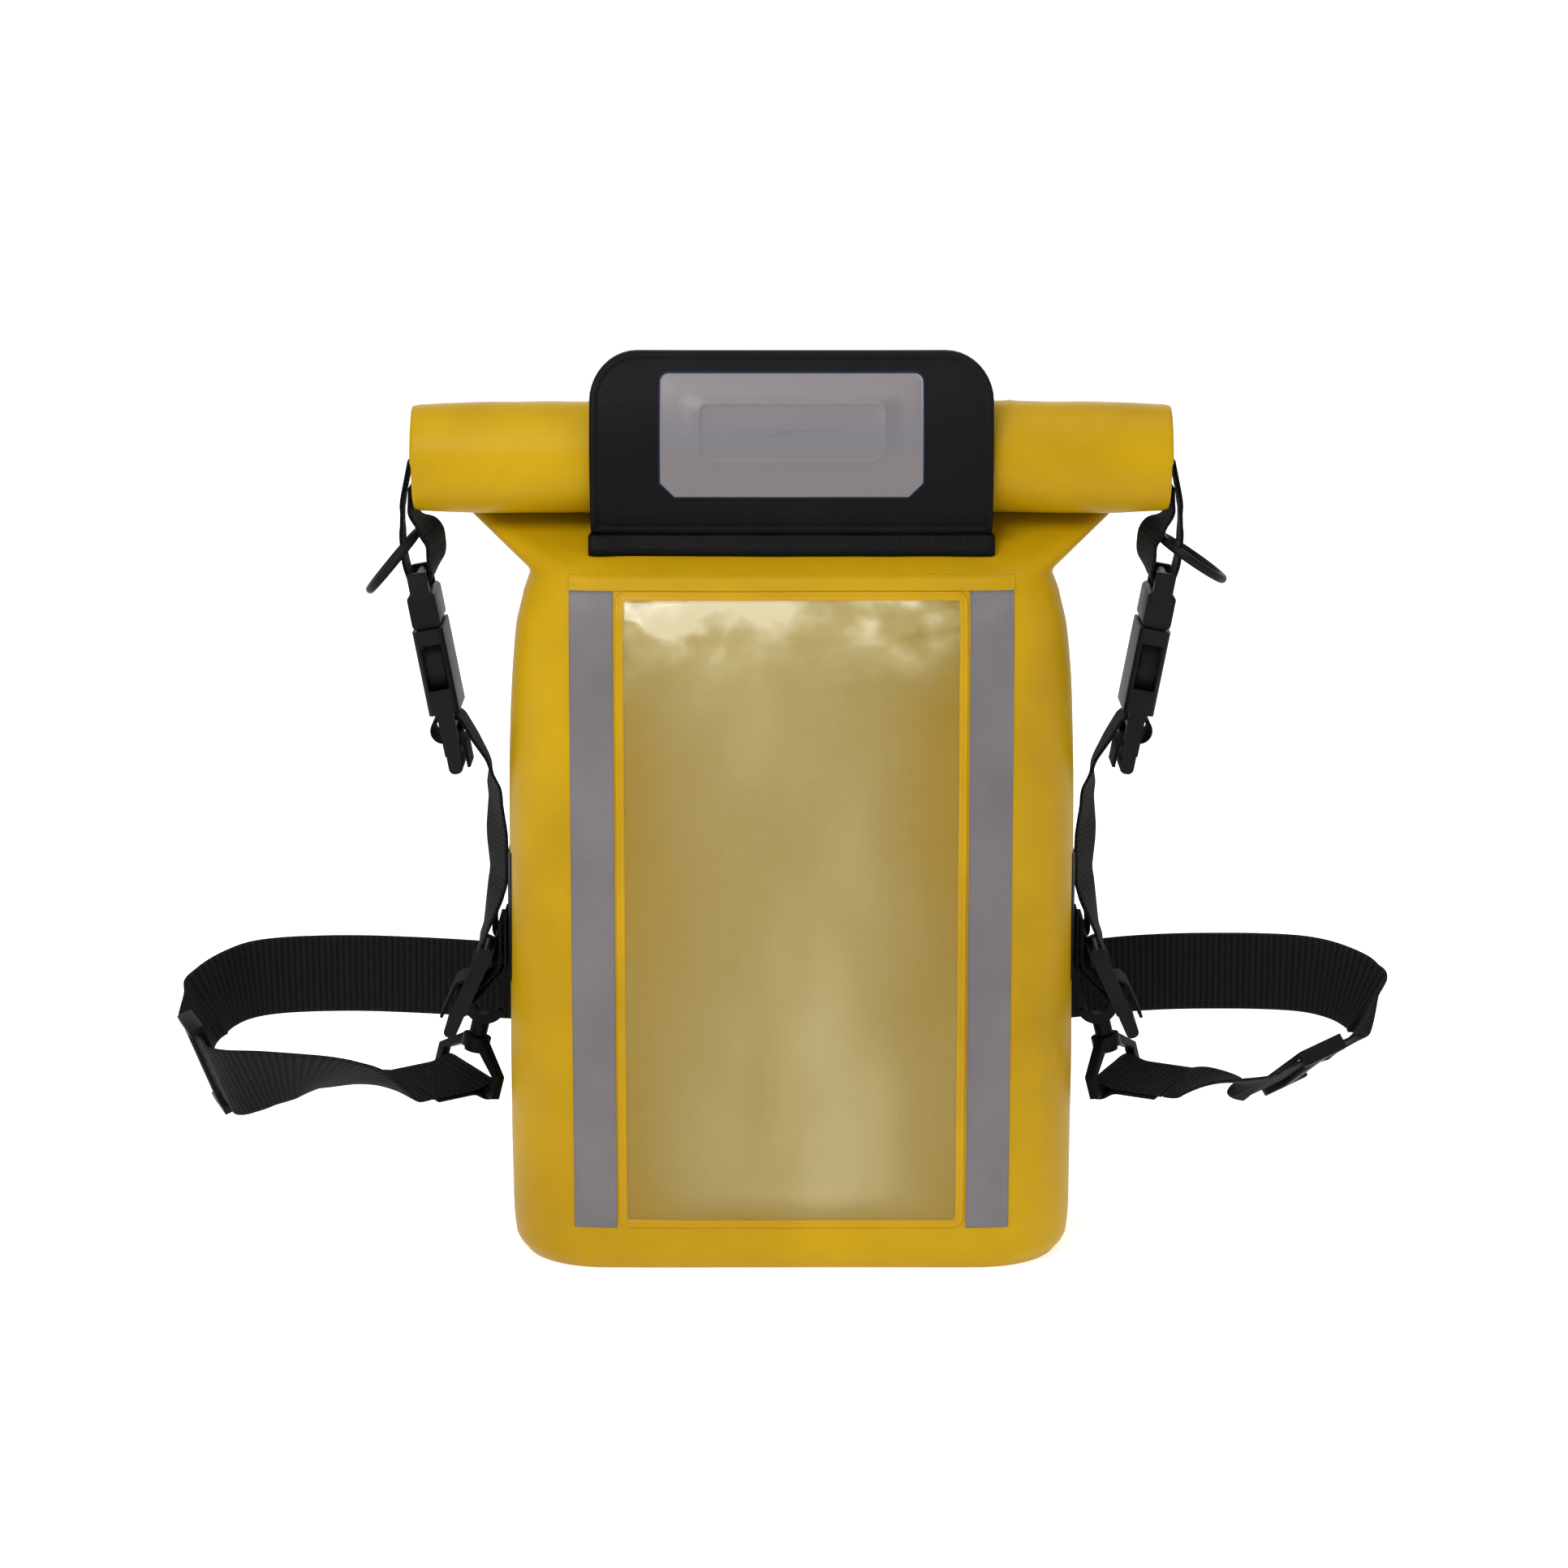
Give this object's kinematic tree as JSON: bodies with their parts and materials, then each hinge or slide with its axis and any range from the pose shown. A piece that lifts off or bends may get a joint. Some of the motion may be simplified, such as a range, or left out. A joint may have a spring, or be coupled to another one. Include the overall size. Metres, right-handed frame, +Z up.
{
  "type": "dry bag",
  "caption": "Roll-top dry bag of coated fabric with a closure flap, clear front pocket, side straps with quick-release buckles, and a clip-on belt.",
  "frame": {"origin": "on the floor under the middle of the base", "axes": "+Z up, front with the flap and window faces -Y, +X to the viewer's right along the roll"},
  "size_m": [0.4603, 0.1118, 0.3365],
  "materials": {
    "coated_yellow": "smooth coated fabric, semi-gloss",
    "window_clear": "frosted clear film",
    "border_yellow": "welded seam",
    "reflective_grey": "satin reflective tape",
    "flap_black": "fine grained coated sheet",
    "label_grey": "satin, dark edge",
    "webbing_black": "ribbed woven webbing",
    "plastic_black": "moulded plastic, satin",
    "tape_black": "hook and loop tape",
    "patch_black": "coated fabric patch"
  },
  "bodies": {
    "bag": {"front_panel": "coated_yellow", "back_panel": "coated_yellow", "base_panel": "coated_yellow", "rolled_mouth": "coated_yellow", "mouth_stiffener": "plastic_black", "window_film": "window_clear", "window_border": "border_yellow", "pocket_seal_band": "border_yellow", "flap_base_band": "flap_black", "roll_loop_tape": "tape_black", "belt_webbing_back": "webbing_black", "back_patch": "patch_black", "reflective_strip_left": "reflective_grey", "tab_webbing_left": "webbing_black", "buckle_male_left": "plastic_black", "side_strap_left": "webbing_black", "strap_adjuster_left": "plastic_black", "strap_anchor_left": "webbing_black", "side_patch_left": "patch_black", "anchor_webbing_left": "webbing_black", "swivel_eye_left": "plastic_black", "belt_end_left": "webbing_black", "belt_webbing_left": "webbing_black", "belt_keeper_left": "webbing_black", "reflective_strip_right": "reflective_grey", "tab_webbing_right": "webbing_black", "buckle_male_right": "plastic_black", "side_strap_right": "webbing_black", "strap_adjuster_right": "plastic_black", "strap_anchor_right": "webbing_black", "side_patch_right": "patch_black", "anchor_webbing_right": "webbing_black", "swivel_eye_right": "plastic_black", "belt_end_right": "webbing_black", "belt_webbing_right": "webbing_black", "belt_keeper_right": "webbing_black"},
    "flap": {"flap_panel": "flap_black", "flap_rim": "flap_black", "flap_label": "label_grey", "flap_hook_tape": "tape_black"},
    "upper_ring_left": {"upper_ring_left": "plastic_black"},
    "buckle_prong_front_left": {"buckle_prong_front_left": "plastic_black"},
    "buckle_prong_back_left": {"buckle_prong_back_left": "plastic_black"},
    "buckle_female_left": {"buckle_female_left": "plastic_black"},
    "d_ring_left": {"d_ring_left": "plastic_black"},
    "hook_left": {"hook_body_left": "plastic_black"},
    "hook_gate_left": {"hook_gate_left": "plastic_black"},
    "belt_slider_left": {"belt_slider_left": "plastic_black"},
    "upper_ring_right": {"upper_ring_right": "plastic_black"},
    "buckle_prong_front_right": {"buckle_prong_front_right": "plastic_black"},
    "buckle_prong_back_right": {"buckle_prong_back_right": "plastic_black"},
    "buckle_female_right": {"buckle_female_right": "plastic_black"},
    "d_ring_right": {"d_ring_right": "plastic_black"},
    "hook_right": {"hook_body_right": "plastic_black"},
    "hook_gate_right": {"hook_gate_right": "plastic_black"},
    "belt_slider_right": {"belt_slider_right": "plastic_black"}
  },
  "joints": [
    {"name": "flap_hinge", "type": "hinge", "parent": "bag", "child": "flap", "pos_m": [0, -0.0256, 0.2704], "axis": [1, 0, 0], "range_deg": [0, 98]},
    {"name": "upper_ring_swing_left", "type": "hinge", "parent": "bag", "child": "upper_ring_left", "pos_m": [-0.1418, -0.006, 0.2625], "axis": [0, 1, 0], "range_deg": [0, 60]},
    {"name": "buckle_prong_front_squeeze_left", "type": "hinge", "parent": "bag", "child": "buckle_prong_front_left", "pos_m": [-0.13224, -0.0136, 0.23399], "axis": [0.9833, 0, 0.1822], "range_deg": [0, 8], "stiffness_Nm_per_rad": 0.05},
    {"name": "buckle_prong_back_squeeze_left", "type": "hinge", "parent": "bag", "child": "buckle_prong_back_left", "pos_m": [-0.13224, 0.0016, 0.23399], "axis": [-0.9833, 0, -0.1822], "range_deg": [0, 8], "stiffness_Nm_per_rad": 0.05},
    {"name": "buckle_release_left", "type": "slide", "parent": "bag", "child": "buckle_female_left", "axis": [0.1822, 0, -0.9833], "range_m": [0, 0.026], "deforming": ["side_strap_left"]},
    {"name": "d_ring_rock_left", "type": "hinge", "parent": "bag", "child": "d_ring_left", "pos_m": [-0.109, 0.0212, 0.115], "axis": [0, -1, 0], "range_deg": [-4, 4]},
    {"name": "hook_swivel_left", "type": "hinge", "parent": "bag", "child": "hook_left", "pos_m": [-0.1126, 0.0212, 0.0985], "axis": [-0.2419, 0, -0.9703], "range_deg": [-15, 15]},
    {"name": "hook_gate_press_left", "type": "hinge", "parent": "hook_left", "child": "hook_gate_left", "pos_m": [-0.10997, 0.0212, 0.08383], "axis": [0, -1, 0], "range_deg": [0, 22], "stiffness_Nm_per_rad": 0.02},
    {"name": "belt_slider_slide_left", "type": "slide", "parent": "bag", "child": "belt_slider_left", "axis": [0.3503, -0.934, -0.0701], "range_m": [-0.005, 0.005]},
    {"name": "upper_ring_swing_right", "type": "hinge", "parent": "bag", "child": "upper_ring_right", "pos_m": [0.1418, -0.006, 0.2625], "axis": [0, -1, 0], "range_deg": [0, 60]},
    {"name": "buckle_prong_front_squeeze_right", "type": "hinge", "parent": "bag", "child": "buckle_prong_front_right", "pos_m": [0.13224, -0.0136, 0.23399], "axis": [0.9833, 0, -0.1822], "range_deg": [0, 8], "stiffness_Nm_per_rad": 0.05},
    {"name": "buckle_prong_back_squeeze_right", "type": "hinge", "parent": "bag", "child": "buckle_prong_back_right", "pos_m": [0.13224, 0.0016, 0.23399], "axis": [-0.9833, 0, 0.1822], "range_deg": [0, 8], "stiffness_Nm_per_rad": 0.05},
    {"name": "buckle_release_right", "type": "slide", "parent": "bag", "child": "buckle_female_right", "axis": [-0.1822, 0, -0.9833], "range_m": [0, 0.026], "deforming": ["side_strap_right"]},
    {"name": "d_ring_rock_right", "type": "hinge", "parent": "bag", "child": "d_ring_right", "pos_m": [0.109, 0.0212, 0.115], "axis": [0, 1, 0], "range_deg": [-4, 4]},
    {"name": "hook_swivel_right", "type": "hinge", "parent": "bag", "child": "hook_right", "pos_m": [0.1126, 0.0212, 0.0985], "axis": [0.2419, 0, -0.9703], "range_deg": [-15, 15]},
    {"name": "hook_gate_press_right", "type": "hinge", "parent": "hook_right", "child": "hook_gate_right", "pos_m": [0.10997, 0.0212, 0.08383], "axis": [0, 1, 0], "range_deg": [0, 22], "stiffness_Nm_per_rad": 0.02},
    {"name": "belt_slider_slide_right", "type": "slide", "parent": "bag", "child": "belt_slider_right", "axis": [-0.8256, -0.5132, -0.2343], "range_m": [-0.005, 0.005]}
  ],
  "couplings": [
    {"joint": "buckle_prong_back_squeeze_left", "follows": "buckle_prong_front_squeeze_left", "ratio": 1},
    {"joint": "buckle_prong_back_squeeze_right", "follows": "buckle_prong_front_squeeze_right", "ratio": 1}
  ]
}
